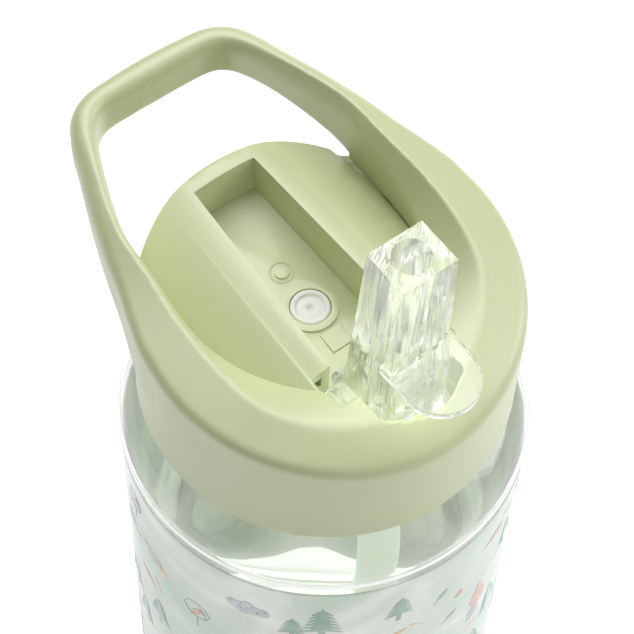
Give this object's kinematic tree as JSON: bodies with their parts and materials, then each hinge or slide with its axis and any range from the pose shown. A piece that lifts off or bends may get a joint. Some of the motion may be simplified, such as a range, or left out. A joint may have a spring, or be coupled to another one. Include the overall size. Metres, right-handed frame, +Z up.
{
  "type": "kids water bottle",
  "caption": "Clear kids' drink bottle with a screw-on lid, a fixed carry loop and a clear straw spout that folds back into a channel.",
  "frame": {"origin": "centre of the bottle's flat resting face", "axes": "+Z up along the bottle's axis, +Y towards the carry loop, -Y towards the spout, +X to the right seen from the spout side"},
  "size_m": [0.0702, 0.0869, 0.194],
  "materials": {
    "clear_body": "clear moulded copolyester, printed with a soft green woodland wash",
    "clear_spout": "clear moulded copolyester",
    "lid_plastic": "satin sage-green polypropylene",
    "silicone": "soft translucent white silicone",
    "straw_plastic": "milky translucent polypropylene"
  },
  "bodies": {
    "bottle": {"bottle_body": "clear_body"},
    "gasket": {"lid_gasket": "silicone"},
    "lid": {"lid_shell": "lid_plastic", "inner_lid": "lid_plastic", "spout_seal": "silicone", "vent_valve": "silicone", "straw": "straw_plastic"},
    "spout": {"spout": "clear_spout"}
  },
  "joints": [
    {"name": "lid_lift", "type": "slide", "parent": "bottle", "child": "gasket", "axis": [0, 0, 1], "range_m": [0, 0.005]},
    {"name": "lid_turn", "type": "hinge", "parent": "gasket", "child": "lid", "pos_m": [0, 0, 0.147], "axis": [0, 0, 1], "range_deg": [0, 450]},
    {"name": "spout_flip", "type": "hinge", "parent": "lid", "child": "spout", "pos_m": [0, -0.0138, 0.1531], "axis": [-1, 0, 0], "range_deg": [0, 90]}
  ],
  "couplings": [
    {"joint": "lid_lift", "follows": "lid_turn", "m_per_rad": 0.00063662}
  ]
}
